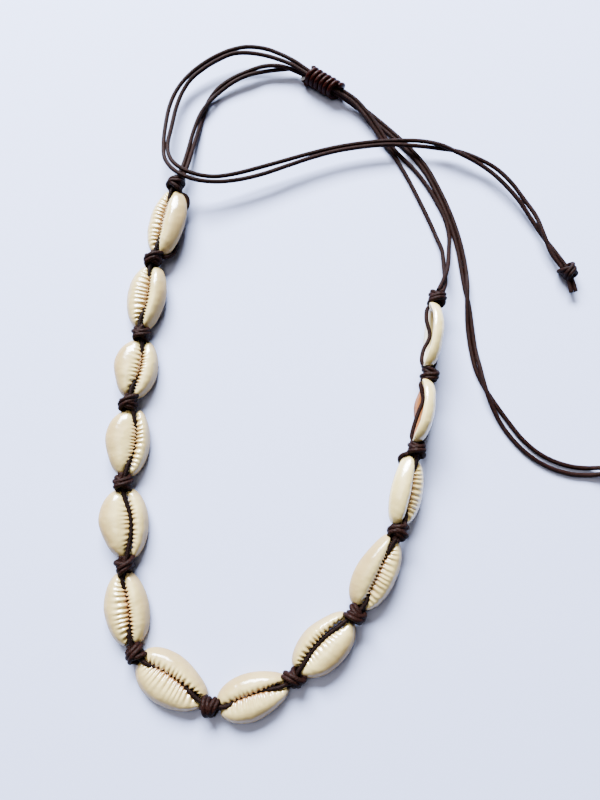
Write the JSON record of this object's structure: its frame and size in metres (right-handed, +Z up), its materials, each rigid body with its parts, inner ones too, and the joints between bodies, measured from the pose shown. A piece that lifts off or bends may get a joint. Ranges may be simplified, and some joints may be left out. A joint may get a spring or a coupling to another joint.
{
  "type": "cowrie shell necklace",
  "caption": "Open loop of cut cowrie shells knotted between the strands of a doubled dark cord, with long tie ends that run through a wrapped sliding knot to end knots.",
  "frame": {"origin": "middle of the row of shells, their knots and the strands between them, on the surface that the necklace lies on", "axes": "+Z up from the surface, +Y towards the tie cords and the sliding knot, +X towards the end of the row whose shells stand on edge; the frame is the one the necklace lies in"},
  "size_m": [0.1376, 0.1844, 0.0112],
  "materials": {
    "shell": "glossy cream sea shell, warmer in the slot",
    "cord": "waxed braided cotton, dark brown with a dull sheen",
    "cord_knot": "the same waxed cotton, knotted",
    "sliding_knot": "waxed cotton wraps, reddish brown"
  },
  "bodies": {
    "root": {"cowrie_01": "shell", "cowrie_02": "shell", "cowrie_03": "shell", "cowrie_04": "shell", "cowrie_05": "shell", "cowrie_06": "shell", "cowrie_07": "shell", "cowrie_08": "shell", "cowrie_09": "shell", "cowrie_10": "shell", "cowrie_11": "shell", "cowrie_12": "shell", "cowrie_13": "shell", "string_knot_00": "cord_knot", "string_knot_01": "cord_knot", "string_knot_02": "cord_knot", "string_knot_03": "cord_knot", "string_knot_04": "cord_knot", "string_knot_05": "cord_knot", "string_knot_06": "cord_knot", "string_knot_07": "cord_knot", "string_knot_08": "cord_knot", "string_knot_09": "cord_knot", "string_knot_10": "cord_knot", "string_knot_11": "cord_knot", "string_knot_12": "cord_knot", "string_knot_13": "cord_knot", "left_end_knot": "cord_knot", "right_end_knot": "cord_knot", "front_strand": "cord", "back_strand": "cord", "left_tie_inner": "cord", "left_tie_outer": "cord", "right_tie_inner": "cord", "right_tie_outer": "cord", "sliding_knot": "sliding_knot"}
  },
  "joints": []
}
